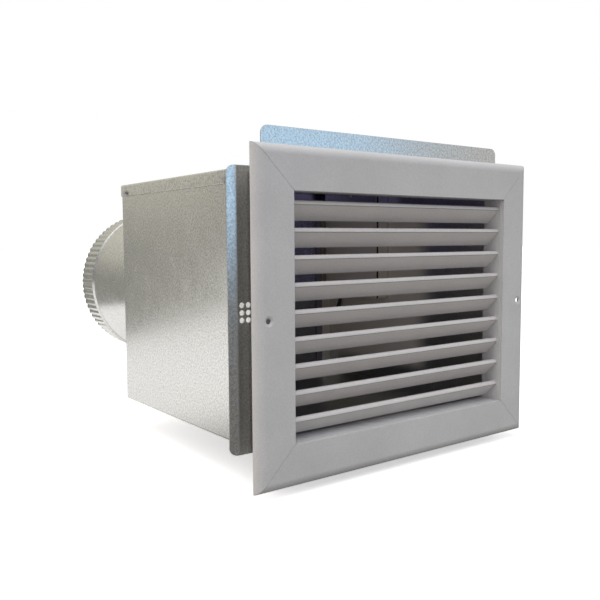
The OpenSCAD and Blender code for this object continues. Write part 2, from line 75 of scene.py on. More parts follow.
SHEET_NODES = ["casing_shell", "top_cover", "back_panel", "wiring_box", "wiring_cover", "fan_plate"]
GRILLE_NODES = ["grille_top", "grille_bottom", "grille_left", "grille_right"]
LOUVRE_NODES = ["louvre_channel_left", "louvre_channel_right", "louvre_rail_top", "louvre_rail_bottom"]
BLADE_NODES = [name for name in sorted(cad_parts) if name.startswith("louvre_blade_")]
FASTENER_NODES = ["cover_screws", "wiring_screws", "fan_plate_screws", "collar_rivets", "retaining_ring"]
BLACK_PLASTIC_NODES = ["fan_shroud", "fan_rotor", "cable_gland", "gland_nut", "power_supply"]
RUBBER_NODES = ["wiring_gasket", "lead_grommet", "fan_lead", "store_seal_front", "store_seal_rear"]
STEEL_NODES = ["bearing_front", "bearing_rear", "fan_shaft", "shaft_clip"]


# ---------------------------------------------------------------- settings

class ZincSettings(bpy.types.PropertyGroup):
    """The galvanised sheet."""
    light: FloatVectorProperty(
        name="Light crystals", description="Colour of the brightest zinc crystals",
        default=(0.85, 0.85, 0.815), subtype="COLOR", size=3, min=0, max=1,
    )
    dark: FloatVectorProperty(
        name="Dark crystals", description="Colour of the darkest zinc crystals",
        default=(0.51, 0.51, 0.485), subtype="COLOR", size=3, min=0, max=1,
    )
    crystal: FloatProperty(
        name="Crystal size", description="Width of one zinc crystal",
        default=2.2 * MM, min=0.5 * MM, max=30 * MM, unit="LENGTH", precision=4,
    )
    roughness: FloatProperty(
        name="Roughness", description="Mean roughness of the sheet",
        default=0.18, min=0, max=1, subtype="FACTOR",
    )


class CoatSettings(bpy.types.PropertyGroup):
    """The grille's powder coat."""
    colour: FloatVectorProperty(
        name="Powder colour", description="Colour of the powder coat",
        default=(0.68, 0.67, 0.665), subtype="COLOR", size=3, min=0, max=1,
    )
    peel: FloatProperty(
        name="Orange peel", description="Distance between the ripples of the coat",
        default=1.7 * MM, min=0.3 * MM, max=6 * MM, unit="LENGTH", precision=4,
    )
    roughness: FloatProperty(
        name="Roughness", description="Mean roughness of the coat",
        default=0.42, min=0, max=1, subtype="FACTOR",
    )


class CollarSettings(bpy.types.PropertyGroup):
    """The duct collar."""
    crimps: IntProperty(
        name="Crimps", description="Number of flutes round the collar's end",
        default=78, min=24, max=120,
    )
    depth: FloatProperty(
        name="Crimp depth", description="Depth of a flute",
        default=1.3 * MM, min=0.5 * MM, max=4 * MM, unit="LENGTH", precision=4,
    )
    seam: FloatProperty(
        name="Seam height", description="How far the lock seam stands proud",
        default=0.5 * MM, min=0, max=1 * MM, unit="LENGTH", precision=4,
    )


class FilterSettings(bpy.types.PropertyGroup):
    """The filter mat."""
    loft: FloatProperty(
        name="Loft", description="Depth of the hills and hollows of the mat",
        default=1.3 * MM, min=0, max=3 * MM, unit="LENGTH", precision=4,
    )
    colour: FloatVectorProperty(
        name="Fibre colour", description="Colour of the fibres",
        default=(0.16, 0.15, 0.28), subtype="COLOR", size=3, min=0, max=1,
    )


class StudioSettings(bpy.types.PropertyGroup):
    """The camera and the lights."""
    camera_place: FloatVectorProperty(
        name="Camera place", description="Where the camera stands",
        default=(-0.4202, -0.4348, 0.0515), size=3, unit="LENGTH", precision=4,
    )
    heading: FloatProperty(
        name="Heading", description="Turn of the camera from +Y towards +X",
        default=math.radians(36.697), subtype="ANGLE",
    )
    tilt: FloatProperty(
        name="Tilt", description="Angle at which the camera looks down",
        default=math.radians(4.75), subtype="ANGLE",
    )
    roll: FloatProperty(
        name="Roll", description="Turn of the camera about its own axis",
        default=math.radians(-0.342), subtype="ANGLE",
    )
    lens: FloatProperty(
        name="Focal length", description="Focal length on a 36 mm wide sensor, in millimetres",
        default=43.33, min=20, max=200,
    )
    key_power: FloatProperty(
        name="Key light", description="Power of the large soft light overhead, in watts",
        default=9.0, min=0, max=500,
    )
    fill_power: FloatProperty(
        name="Low fill", description="Power of the small warm light low in front, in watts",
        default=0.08, min=0, max=100,
    )
    inner_power: FloatProperty(
        name="Inner light", description="Power of the weak light inside the casing, in watts",
        default=0.035, min=0, max=10,
    )
    surround: FloatProperty(
        name="Surround", description="Brightness of the studio's walls and ceiling",
        default=1.0, min=0, max=5,
    )


SETTINGS = {
    "hru_zinc": ZincSettings,
    "hru_coat": CoatSettings,
    "hru_collar": CollarSettings,
    "hru_filter": FilterSettings,
    "hru_studio": StudioSettings,
}


# ---------------------------------------------------------------- node trees

class Graph:
    """Adds nodes to one node tree. A socket given as a value is linked; anything else is set."""

    def __init__(self, tree):
        self.tree = tree

    def feed(self, socket, value):
        if isinstance(value, bpy.types.NodeSocket):
            self.tree.links.new(value, socket)
        else:
            socket.default_value = value

    def add(self, kind, inputs=None, **settings):
        made = self.tree.nodes.new(kind)
        for name, value in settings.items():
            setattr(made, name, value)
        for name, value in (inputs or {}).items():
            self.feed(made.inputs[name], value)
        return made

    def math(self, operation, *values, clamp=False):
        made = self.add("ShaderNodeMath", dict(enumerate(values)), operation=operation, use_clamp=clamp)
        return made.outputs[0]

    def times(self, first, second, clamp=False):
        return self.math("MULTIPLY", first, second, clamp=clamp)

    def plus(self, first, second, clamp=False):
        return self.math("ADD", first, second, clamp=clamp)

    def length(self, first, second):
        """The length of a vector from its two parts."""
        return self.math("SQRT", self.plus(self.times(first, first), self.times(second, second)))

    def parts(self, vector):
        """The three numbers of a vector."""
        return self.add("ShaderNodeSeparateXYZ", {0: vector}).outputs

    def vector(self, operation, *values, output=0):
        made = self.add("ShaderNodeVectorMath", dict(enumerate(values)), operation=operation)
        return made.outputs[output]

    def noise(self, vector, scale, detail=2.0, roughness=0.5, distortion=0.0):
        inputs = {"Vector": vector, "Scale": scale, "Detail": detail}
        inputs.update({"Roughness": roughness, "Distortion": distortion})
        return self.add("ShaderNodeTexNoise", inputs).outputs["Fac"]

    def voronoi(self, vector, scale, output="Color", feature="F1"):
        made = self.add("ShaderNodeTexVoronoi", {"Vector": vector, "Scale": scale}, feature=feature)
        return made.outputs[output]

    def remap(self, value, low, high, to_low=0.0, to_high=1.0, smooth=False):
        inputs = {0: value, 1: low, 2: high, 3: to_low, 4: to_high}
        kind = "SMOOTHSTEP" if smooth else "LINEAR"
        return self.add("ShaderNodeMapRange", inputs, interpolation_type=kind).outputs[0]

    def blend(self, factor, first, second, mode="MIX"):
        inputs = {0: factor, 6: opaque(first), 7: opaque(second)}
        return self.add("ShaderNodeMix", inputs, data_type="RGBA", blend_type=mode).outputs[2]

    def lerp(self, factor, first, second):
        return self.add("ShaderNodeMix", {0: factor, 2: first, 3: second}).outputs[0]

    def surface(self, sockets, colour, roughness, normal):
        """Feeds the three sockets that vary in every finish."""
        self.feed(sockets["Base Color"], colour)
        self.feed(sockets["Roughness"], roughness)
        self.feed(sockets["Normal"], normal)

    def place(self):
        """The piece's own Object coordinates, in metres."""
        return self.add("ShaderNodeTexCoord").outputs["Object"]

    def stretched(self, vector, scale, turn=(0.0, 0.0, 0.0)):
        """The vector scaled by a different factor along each axis, after a turn."""
        inputs = {"Vector": vector, "Scale": scale, "Rotation": turn}
        return self.add("ShaderNodeMapping", inputs, vector_type="POINT").outputs[0]

    def bump(self, height, distance, strength=1.0, normal=None):
        inputs = {"Height": height, "Distance": distance, "Strength": strength}
        made = self.add("ShaderNodeBump", inputs)
        if normal is not None:
            self.feed(made.inputs["Normal"], normal)
        return made.outputs[0]

    def group(self, tree, inputs=None):
        made = self.add("ShaderNodeGroup", node_tree=tree)
        for name, value in (inputs or {}).items():
            self.feed(made.inputs[name], value)
        return made.outputs


def opaque(colour):
    """Three numbers as a colour with full alpha; a socket stays as it is."""
    if isinstance(colour, bpy.types.NodeSocket):
        return colour
    return (*tuple(colour)[:3], 1.0)


def shader_group(name, inputs, build):
    """A node group with inputs {name: default number, or None for a vector}, and what build returns."""
    if name in bpy.data.node_groups:
        return bpy.data.node_groups[name]
    tree = bpy.data.node_groups.new(name, "ShaderNodeTree")
    for label, default in inputs.items():
        kind = VECTOR if default is None else FLOAT
        socket = tree.interface.new_socket(label, in_out="INPUT", socket_type=kind)
        if default is not None:
            socket.default_value = default
    graph = Graph(tree)
    source = graph.add("NodeGroupInput").outputs
    sink = graph.add("NodeGroupOutput").inputs
    for label, socket in build(graph, source).items():
        kind = VECTOR if socket.type == "VECTOR" else FLOAT
        tree.interface.new_socket(label, in_out="OUTPUT", socket_type=kind)
        graph.feed(sink[label], socket)
    return tree


FLOAT = "NodeSocketFloat"
VECTOR = "NodeSocketVector"


def spangle_group():
    """Zinc crystals: cells bent by noise, each one with its own tone and its own slight tilt."""

    def build(graph, source):
        size = graph.math("DIVIDE", 1.0, source["Crystal"])
        warp = graph.add("ShaderNodeTexNoise", {"Vector": source["Vector"], "Scale": size, "Detail": 2.0})
        push = graph.vector("MULTIPLY", graph.vector("SUBTRACT", warp.outputs["Color"], (0.5, 0.5, 0.5)),
                            graph.vector("SCALE", (1.0, 1.0, 1.0), source["Crystal"]))
        bent = graph.vector("ADD", source["Vector"], push)
        cells = graph.add("ShaderNodeTexVoronoi", {"Vector": bent, "Scale": size, "Randomness": 1.0})
        tone = graph.add("ShaderNodeSeparateColor", {0: cells.outputs["Color"]}).outputs[0]
        speck = graph.noise(source["Vector"], graph.times(size, 1.3), 3.0, 0.7)
        speck = graph.remap(speck, 0.43, 0.57)
        cloud = graph.noise(source["Vector"], graph.times(size, 0.12), 3.0, 0.55)
        cloud = graph.remap(cloud, 0.3, 0.7)
        tilt = graph.vector("SUBTRACT", cells.outputs["Color"], (0.5, 0.5, 0.5))
        offset = graph.vector("SUBTRACT", graph.vector("SCALE", bent, size), cells.outputs["Position"])
        facet = graph.vector("DOT_PRODUCT", tilt, offset, output=1)
        height = graph.plus(facet, graph.times(speck, 0.3))
        return {"Tone": tone, "Speck": speck, "Cloud": cloud, "Height": height}

    return shader_group("Zinc spangle", {"Vector": None, "Crystal": 0.003}, build)


def edge_group():
    """Worn edges: how far the rounded normal leans from the true one, broken up by noise."""

    def build(graph, source):
        rounded = graph.add("ShaderNodeBevel", {"Radius": source["Radius"]}, samples=4).outputs[0]
        true = graph.add("ShaderNodeNewGeometry").outputs["True Normal"]
        lean = graph.math("SUBTRACT", 1.0, graph.vector("DOT_PRODUCT", rounded, true, output=1))
        broken = graph.noise(source["Vector"], 420.0, 3.0, 0.6)
        worn = graph.times(lean, graph.remap(broken, 0.3, 0.65, 1.0, 6.0), clamp=True)
        return {"Wear": worn, "Normal": rounded}

    inputs = {"Vector": None, "Radius": 0.0006}
    return shader_group("Worn edge", inputs, build)


def dust_group():
    """Dust: thickest where a surface faces up, in drifts."""

    def build(graph, source):
        normal = graph.add("ShaderNodeNewGeometry").outputs["Normal"]
        up = graph.parts(normal)[2]
        lies = graph.remap(up, 0.2, 1.0)
        drift = graph.noise(source["Vector"], 26.0, 4.0, 0.6)
        fine = graph.noise(source["Vector"], 900.0, 2.0, 0.5)
        mask = graph.times(lies, graph.remap(drift, 0.35, 0.7))
        mask = graph.times(mask, graph.remap(fine, 0.3, 0.7, 0.4, 1.0))
        return {"Dust": graph.times(mask, source["Amount"], clamp=True)}

    return shader_group("Settled dust", {"Vector": None, "Amount": 0.3}, build)


def groove_group():
    """The roll-formed groove along each louvre blade, one under every rounded nose, as one mask for its dent
    and its painted shade.
    """
    tops = [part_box(name)[1][2] for name in BLADE_NODES]
    pitch = (max(tops) - min(tops)) / (len(tops) - 1)

    def build(graph, source):
        height = graph.parts(source["Vector"])[2]
        below = graph.math("SUBTRACT", height, max(tops) - GROOVE_DROP)
        near = graph.math("ABSOLUTE", graph.math("WRAP", below, pitch / 2, -pitch / 2))
        return {"Groove and painted shade": graph.remap(near, 0.45 * MM, 0.15 * MM, smooth=True)}

    return shader_group("Blade groove and painted shade", {"Vector": None}, build)


def inside_group():
    """The inside of the casing, which is painted darker as painted shade, the dull brown film in its rear
    part and the cooler, darker painted shade by its roof.
    """
    half_width, depth, half_height, edge = 131.5 * MM, 242.5 * MM, 105.5 * MM, 0.2 * MM

    def build(graph, source):
        size = graph.vector("ABSOLUTE", source["Vector"])
        parts = graph.parts(size)
        width = graph.remap(parts[0], half_width + edge, half_width)
        height = graph.remap(parts[2], half_height + edge, half_height)
        ahead = graph.remap(parts[1], depth + edge, depth)
        inside = graph.times(graph.times(width, height), ahead)
        cloud = graph.noise(source["Vector"], 18.0, 3.0, 0.5)
        reach = graph.plus(parts[1], graph.times(cloud, 30 * MM))
        rear = graph.remap(reach, 92 * MM, 118 * MM, smooth=True)
        middle = graph.remap(parts[2], 90 * MM, 76 * MM, smooth=True)
        level = graph.parts(source["Vector"])[2]
        roof = graph.remap(level, 58 * MM, 80 * MM, smooth=True)
        film = graph.times(inside, graph.times(rear, middle))
        return {"Inside": inside, "Film": film, "Roof": roof}

    return shader_group("Inside painted shade and film", {"Vector": None}, build)


def ripple_group():
    """Powder coat: long shallow ripples with a fine grain on them."""

    def build(graph, source):
        scale = graph.math("DIVIDE", 1.0, source["Pitch"])
        long_wave = graph.noise(source["Vector"], scale, 2.0, 0.45)
        grain = graph.noise(source["Vector"], graph.times(scale, 1.4), 3.0, 0.65)
        height = graph.plus(long_wave, graph.times(grain, 0.3))
        cloud = graph.noise(source["Vector"], graph.times(scale, 0.05), 3.0, 0.5)
        return {"Height": height, "Grain": grain, "Cloud": cloud}

    return shader_group("Powder ripple", {"Vector": None, "Pitch": 0.0017}, build)


def moulded_group():
    """Moulded plastic: a spark-eroded grain of small round pits."""

    def build(graph, source):
        scale = graph.math("DIVIDE", 1.0, source["Pitch"])
        pits = graph.voronoi(source["Vector"], scale, "Distance")
        fine = graph.noise(source["Vector"], graph.times(scale, 1.7), 2.0, 0.5)
        cloud = graph.noise(source["Vector"], graph.times(scale, 0.03), 3.0, 0.5)
        height = graph.plus(pits, graph.times(fine, 0.5))
        return {"Height": height, "Cloud": cloud}

    return shader_group("Moulded grain", {"Vector": None, "Pitch": 0.0009}, build)


def scratch_group():
    """Fine scratches: noise drawn out along two directions, thinned to lines."""

    def build(graph, source):
        masks = []
        for turn in (0.35, -1.1):
            run = graph.stretched(source["Vector"], (60.0, 2600.0, 900.0), (turn, 0.4 * turn, turn))
            masks.append(graph.remap(graph.noise(run, 1.0, 2.0, 0.5), 0.62, 0.72))
        return {"Scratch": graph.math("MAXIMUM", *masks)}

    return shader_group("Fine scratches", {"Vector": None}, build)


# ---------------------------------------------------------------- materials

def material(name, build, **sockets):
    """A Principled BSDF material; sockets are constants, and build(graph, shader) links what varies."""
    if name in bpy.data.materials:
        return bpy.data.materials[name]
    made = bpy.data.materials.new(name)
    made.use_nodes = True
    graph = Graph(made.node_tree)
    shader = made.node_tree.nodes["Principled BSDF"]
    for label, value in sockets.items():
        shader.inputs[label.replace("_", " ")].default_value = value
    build(graph, shader.inputs)
    return made


def galvanised(name="Galvanised sheet"):
    """Zinc-coated sheet: fine spangle, soft streaks down the sheet, bright worn edges and a little dust, with
    painted shade in crevices and over the inside of the casing.
    """
    zinc = bpy.context.scene.hru_zinc

    def build(graph, sockets):
        place = graph.place()
        spangle = graph.group(spangle_group(), {"Vector": place, "Crystal": zinc.crystal})
        edge = graph.group(edge_group(), {"Vector": place, "Radius": 0.5 * MM})
        dust = graph.group(dust_group(), {"Vector": place, "Amount": 0.25})["Dust"]
        streak = graph.remap(graph.noise(graph.stretched(place, (70.0, 70.0, 5.0)), 1.0, 3.0, 0.6), 0.3, 0.7)
        tone = graph.plus(graph.times(spangle["Tone"], 0.40), graph.times(spangle["Speck"], 0.60))
        tone = graph.plus(tone, graph.times(spangle["Cloud"], 0.10))
        tone = graph.plus(tone, graph.times(streak, 0.03))
        colour = graph.blend(tone, zinc.dark, zinc.light)
        pit = graph.remap(graph.noise(place, 520.0, 2.0, 0.7), 0.64, 0.72)
        colour = graph.blend(graph.times(pit, 0.6), colour, (0.22, 0.22, 0.21))
        within = graph.group(inside_group(), {"Vector": place})
        film = within["Film"]
        # Painted shade: inside the casing the sheet is painted darker than outside, and darker and bluer by
        # the roof.
        painted_inside_shade = graph.blend(within["Roof"], (0.50, 0.50, 0.48), (0.40, 0.38, 0.62))
        colour = graph.blend(graph.times(within["Inside"], 0.65), colour, painted_inside_shade)
        colour = graph.blend(graph.times(film, 0.9), colour, (0.70, 0.65, 0.58))
        # Painted shade: crevices and narrow steps are darkened towards near black, where shadow falls.
        open_sky = graph.add("ShaderNodeAmbientOcclusion", {"Distance": 1.6 * MM}, samples=6).outputs["AO"]
        painted_crevice_shade = graph.remap(open_sky, 0.85, 0.35)
        colour = graph.blend(graph.times(painted_crevice_shade, 0.75), colour, (0.10, 0.10, 0.09))
        colour = graph.blend(graph.times(edge["Wear"], 0.5), colour, (0.86, 0.86, 0.85))
        colour = graph.blend(graph.times(dust, 0.5), colour, (0.55, 0.53, 0.49))
        graph.feed(sockets["Base Color"], colour)
        rough = graph.remap(spangle["Tone"], 0.0, 1.0, zinc.roughness - 0.03, zinc.roughness + 0.05)
        rough = graph.plus(rough, graph.times(spangle["Cloud"], 0.05))
        rough = graph.plus(rough, graph.times(dust, 0.35), clamp=True)
        dull = graph.plus(graph.times(film, 0.25), graph.times(within["Inside"], 0.3))
        graph.feed(sockets["Roughness"], graph.math("MAXIMUM", rough, dull))
        graph.feed(sockets["Metallic"], graph.remap(film, 0.0, 1.0, 1.0, 0.1))
        graph.feed(sockets["Normal"], graph.bump(spangle["Height"], 0.00006, 0.1, edge["Normal"]))

    return material(name, build)


def powder_coat(name="White powder coat", tint=(1.0, 1.0, 1.0), groove=False):
    """White powder coat: orange peel, slightly greyer clouds, rubbed edges and dust on the ledges."""
    coat = bpy.context.scene.hru_coat

    def build(graph, sockets):
        place = graph.place()
        ripple = graph.group(ripple_group(), {"Vector": place, "Pitch": coat.peel})
        edge = graph.group(edge_group(), {"Vector": place, "Radius": 0.7 * MM})
        dust = graph.group(dust_group(), {"Vector": place, "Amount": 0.35})["Dust"]
        base = tuple(c * t for c, t in zip(coat.colour, tint))
        greyer = tuple(0.93 * c for c in base)
        colour = graph.blend(graph.remap(ripple["Cloud"], 0.35, 0.7), base, greyer)
        colour = graph.blend(graph.remap(ripple["Grain"], 0.38, 0.62, 0.0, 0.35), colour, (0.5, 0.5, 0.5))
        colour = graph.blend(graph.times(edge["Wear"], 0.35), colour, (0.9, 0.9, 0.9))
        colour = graph.blend(graph.times(dust, 0.6), colour, (0.62, 0.6, 0.56))
        normal = graph.bump(ripple["Height"], 0.00004, 0.6, edge["Normal"])
        if groove:
            line = graph.group(groove_group(), {"Vector": place})["Groove and painted shade"]
            # Painted shade: the coat is darkened along the groove under each nose; the dent itself is the
            # bump below.
            colour = graph.blend(graph.times(line, 0.45), colour, (0.22, 0.21, 0.2))
            normal = graph.bump(line, -0.00025, 0.8, normal)
        graph.feed(sockets["Base Color"], colour)
        rough = graph.remap(ripple["Grain"], 0.3, 0.7, coat.roughness - 0.05, coat.roughness + 0.06)
        graph.feed(sockets["Roughness"], graph.plus(rough, graph.times(dust, 0.3), True))
        graph.feed(sockets["Normal"], normal)

    return material(name, build)


def plated_steel(name="Zinc-plated steel", colour=(0.62, 0.62, 0.62), roughness=0.3):
    """Bright plated fasteners: scratches, and a dull film in noise-driven patches."""

    def build(graph, sockets):
        place = graph.place()
        scratch = graph.group(scratch_group(), {"Vector": place})["Scratch"]
        edge = graph.group(edge_group(), {"Vector": place, "Radius": 0.25 * MM})
        film = graph.remap(graph.noise(place, 700.0, 3.0, 0.6), 0.3, 0.7)
        shade = graph.blend(film, tuple(0.72 * c for c in colour), colour)
        shade = graph.blend(graph.times(edge["Wear"], 0.6), shade, (0.88, 0.88, 0.87))
        shade = graph.blend(graph.times(scratch, 0.4), shade, (0.9, 0.9, 0.9))
        height = graph.math("SUBTRACT", graph.times(film, 0.4), scratch)
        rough = graph.remap(film, 0.0, 1.0, roughness + 0.14, roughness - 0.05)
        graph.surface(sockets, shade, rough, graph.bump(height, 0.00002, 0.5, edge["Normal"]))

    return material(name, build, Metallic=1.0)


def moulded(name, colour, roughness=0.5, pitch=0.9 * MM, dust_amount=0.3):
    """Grained plastic or rubber: pitted, faintly clouded, dusty on top."""

    def build(graph, sockets):
        place = graph.place()
        grain = graph.group(moulded_group(), {"Vector": place, "Pitch": pitch})
        edge = graph.group(edge_group(), {"Vector": place, "Radius": 0.3 * MM})
        dust = graph.group(dust_group(), {"Vector": place, "Amount": dust_amount})["Dust"]
        paler = tuple(min(1.0, 1.5 * c + 0.015) for c in colour)
        shade = graph.blend(graph.remap(grain["Cloud"], 0.3, 0.7), colour, paler)
        shade = graph.blend(graph.times(edge["Wear"], 0.25), shade, paler)
        shade = graph.blend(graph.times(dust, 0.4), shade, (0.35, 0.33, 0.3))
        graph.feed(sockets["Base Color"], shade)
        rough = graph.remap(grain["Cloud"], 0.3, 0.7, roughness - 0.06, roughness + 0.08)
        graph.feed(sockets["Roughness"], graph.plus(rough, graph.times(dust, 0.3), True))
        graph.feed(sockets["Normal"], graph.bump(grain["Height"], 0.00005, 0.5, edge["Normal"]))

    return material(name, build)


def solder_mask():
    """A printed board: green mask over copper tracks, with tinned pads on a regular pitch."""

    def build(graph, sockets):
        place = graph.place()
        parts = graph.parts(place)
        pitch = 2.54 * MM
        across = graph.math("ABSOLUTE", graph.math("WRAP", graph.math("DIVIDE", parts[1], pitch), -0.5, 0.5))
        up = graph.math("ABSOLUTE", graph.math("WRAP", graph.math("DIVIDE", parts[2], pitch), -0.5, 0.5))
        reach = graph.length(across, up)
        chosen = graph.voronoi(place, 160.0, "Distance")
        pad = graph.times(graph.remap(reach, 0.30, 0.26), graph.remap(chosen, 0.40, 0.36))
        lane = graph.remap(across, 0.16, 0.12)
        track = graph.times(lane, graph.remap(graph.noise(place, 45.0, 1.0), 0.5, 0.51))
        shade = graph.blend(track, (0.02, 0.13, 0.05), (0.04, 0.24, 0.09))
        shade = graph.blend(pad, shade, (0.72, 0.71, 0.66))
        graph.feed(sockets["Base Color"], shade)
        graph.feed(sockets["Metallic"], pad)
        graph.feed(sockets["Roughness"], graph.lerp(pad, 0.36, 0.28))
        height = graph.plus(track, pad)
        graph.feed(sockets["Normal"], graph.bump(height, 0.00004, 0.6))

    return material("Solder mask", build)


def lathe_turned(name, colour, roughness, axis_z):
    """Ground or turned steel: fine rings about the fan's axis."""

    def build(graph, sockets):
        place = graph.place()
        inputs = {"Vector": place, "Location": (0.0, 0.0, -axis_z)}
        centred = graph.add("ShaderNodeMapping", inputs).outputs[0]
        parts = graph.parts(centred)
        radius = graph.length(parts[0], parts[2])
        run = graph.add("ShaderNodeCombineXYZ", {0: radius, 1: parts[1]}).outputs[0]
        ring = graph.noise(run, 9000.0, 2.0, 0.6)
        film = graph.noise(place, 300.0, 3.0, 0.6)
        shade = graph.blend(graph.remap(film, 0.3, 0.7), tuple(0.85 * c for c in colour), colour)
        rough = graph.remap(ring, 0.3, 0.7, roughness - 0.06, roughness + 0.08)
        graph.surface(sockets, shade, rough, graph.bump(ring, 0.000008, 0.5))

    return material(name, build, Metallic=1.0)


def winding_copper():
    """Enamelled wire: a lacquered sheen on turns that follow the piece's own UV map, with painted shade in
    the creases between turns.
    """

    def build(graph, sockets):
        uv = graph.add("ShaderNodeUVMap", uv_map="Turns").outputs[0]
        across = graph.parts(uv)[0]
        wave = graph.math("ABSOLUTE", graph.math("SINE", graph.times(across, math.pi)))
        cloud = graph.noise(graph.place(), 420.0, 3.0, 0.6)
        shade = graph.blend(graph.remap(cloud, 0.3, 0.7), (0.42, 0.14, 0.05), (0.66, 0.27, 0.11))
        # Painted shade: the copper is darkened to near black in the creases between turns.
        shade = graph.blend(graph.remap(wave, 0.0, 0.45, 0.75, 0.0), shade, (0.06, 0.02, 0.01))
        rough = graph.remap(cloud, 0.3, 0.7, 0.24, 0.36)
        graph.surface(sockets, shade, rough, graph.bump(wave, 0.00018, 0.8))

    return material("Enamelled copper", build, Metallic=0.9)


def filter_fibre():
    """Open fibre mat: crossing strands at several angles over hollows painted dark as painted shade, darker
    and browner towards the bottom.
    """
    colour = tuple(bpy.context.scene.hru_filter.colour)

    def build(graph, sockets):
        place = graph.place()
        strands = None
        for turn in (0.2, 1.0, 1.9, 2.7):
            run = graph.stretched(place, (260.0, 260.0, 2600.0), (0.0, turn, 0.3 * turn))
            line = graph.remap(graph.noise(run, 1.0, 2.0, 0.5, 0.4), 0.5, 0.66)
            strands = line if strands is None else graph.math("MAXIMUM", strands, line)
        tuft = graph.remap(graph.noise(place, 90.0, 3.0, 0.6), 0.3, 0.7)
        pale = tuple(min(1.0, 2.6 * c + 0.02) for c in colour)
        # Painted shade: the mat between the strands is painted at half the fibre colour.
        shade = graph.blend(strands, tuple(0.5 * c for c in colour), pale)
        shade = graph.blend(graph.times(tuft, 0.35), shade, tuple(0.6 * c for c in colour))
        # Darker and browner towards the bottom.
        level = graph.parts(place)[2]
        browner_low = graph.remap(level, 30 * MM, -35 * MM, smooth=True)
        browner_low = graph.times(browner_low, graph.remap(tuft, 0.0, 1.0, 0.7, 0.95))
        shade = graph.blend(browner_low, shade, (0.13, 0.12, 0.10))
        height = graph.plus(strands, graph.times(tuft, 1.5))
        rough = graph.remap(strands, 0.0, 1.0, 0.95, 0.75)
        graph.surface(sockets, shade, rough, graph.bump(height, 0.0005, 0.8))

    return material("Filter fibre", build, Sheen_Weight=0.25)


def honeycomb_ceramic():
    """Unglazed cordierite: fine pores, warm patches and a few iron specks."""

    def build(graph, sockets):
        place = graph.place()
        patch = graph.remap(graph.noise(place, 22.0, 4.0, 0.55), 0.3, 0.7)
        pore = graph.remap(graph.noise(place, 1500.0, 3.0, 0.7), 0.3, 0.55)
        iron = graph.remap(graph.voronoi(place, 260.0, "Distance"), 0.10, 0.04)
        shade = graph.blend(patch, (0.60, 0.53, 0.43), (0.72, 0.67, 0.58))
        shade = graph.blend(graph.times(graph.math("SUBTRACT", 1.0, pore), 0.5), shade, (0.4, 0.34, 0.27))
        shade = graph.blend(graph.times(iron, 0.7), shade, (0.22, 0.11, 0.05))
        rough = graph.remap(pore, 0.0, 1.0, 0.95, 0.8)
        graph.surface(sockets, shade, rough, graph.bump(pore, 0.00012, 0.7))

    return material("Honeycomb ceramic", build)


def bead_foam():
    """Expanded foam: fused beads a few millimetres wide, with painted shade in the seams between them."""

    def build(graph, sockets):
        place = graph.place()
        bead = graph.voronoi(place, 330.0, "Distance", "SMOOTH_F1")
        tone = graph.add("ShaderNodeSeparateColor", {0: graph.voronoi(place, 330.0)}).outputs[0]
        shade = graph.blend(tone, (0.035, 0.035, 0.038), (0.075, 0.075, 0.08))
        # Painted shade: the seams between beads are painted near black.
        shade = graph.blend(graph.remap(bead, 0.35, 0.6), shade, (0.012, 0.012, 0.013))
        rough = graph.remap(tone, 0.0, 1.0, 0.6, 0.75)
        graph.surface(sockets, shade, rough, graph.bump(graph.math("SUBTRACT", 1.0, bead), 0.0004, 0.6))

    return material("Bead foam", build)


# ---------------------------------------------------------------- surfaces

def grid_faces(rows, columns, wrap_rows=False, wrap_columns=False):
    """Corner indices of the quads between neighbouring points of a grid, rows first."""
    index = np.arange(rows * columns).reshape(rows, columns)
    if wrap_rows:
        index = np.vstack([index, index[:1]])
    if wrap_columns:
        index = np.hstack([index, index[:, :1]])
    corners = [index[:-1, :-1], index[1:, :-1], index[1:, 1:], index[:-1, 1:]]
    return np.stack(corners, -1).reshape(-1, 4)


def joined(parts):
    """One (points, faces) pair from several, their indices shifted past each other."""
    shift = np.cumsum([0] + [len(points) for points, _ in parts[:-1]])
    points = np.concatenate([points for points, _ in parts])
    faces = np.concatenate([faces + start for (_, faces), start in zip(parts, shift)])
    return points, faces


def mesh_piece(name, points, faces, finish, body, weld=0.0, uv=None):
    """A smooth-shaded piece in the scene from point and quad arrays, riding on a CAD body."""
    mesh = bpy.data.meshes.new(name)
    mesh.vertices.add(len(points))
    mesh.vertices.foreach_set("co", np.asarray(points, np.float32).ravel())
    mesh.loops.add(faces.size)
    mesh.loops.foreach_set("vertex_index", faces.astype(np.int32).ravel())
    mesh.polygons.add(len(faces))
    mesh.polygons.foreach_set("loop_start", np.arange(0, faces.size, 4, dtype=np.int32))
    mesh.polygons.foreach_set("loop_total", np.full(len(faces), 4, np.int32))
    mesh.update(calc_edges=True)
    if uv is not None:
        layer = mesh.uv_layers.new(name="Turns")
        layer.data.foreach_set("uv", uv[faces.ravel()].astype(np.float32).ravel())
    if weld > 0:
        work = bmesh.new()
        work.from_mesh(mesh)
        bmesh.ops.remove_doubles(work, verts=work.verts, dist=weld)
        work.to_mesh(mesh)
        work.free()
    mesh.polygons.foreach_set("use_smooth", np.ones(len(mesh.polygons), bool))
    mesh.materials.append(finish)
    piece = bpy.data.objects.new(name, mesh)
    bpy.context.scene.collection.objects.link(piece)
    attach(piece, body)
    return piece


def smooth_step(value, low, high):
    """0 below low, 1 above high, and an S-curve between."""
    share = np.clip((value - low) / (high - low), 0, 1)
    return share * share * (3 - 2 * share)


def arc(centre, radius, start, stop, count):
    """Points (radius from the axis, place along it) on a circular arc, angles in degrees."""
    turn = np.radians(np.linspace(start, stop, count))
    return np.column_stack([centre[0] + radius * np.cos(turn), centre[1] + radius * np.sin(turn)])


def dress(names, finish):
    """Gives each of these CAD nodes one material in all its slots."""
    for name in names:
        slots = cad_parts[name].data.materials
        slots.clear()
        slots.append(finish)


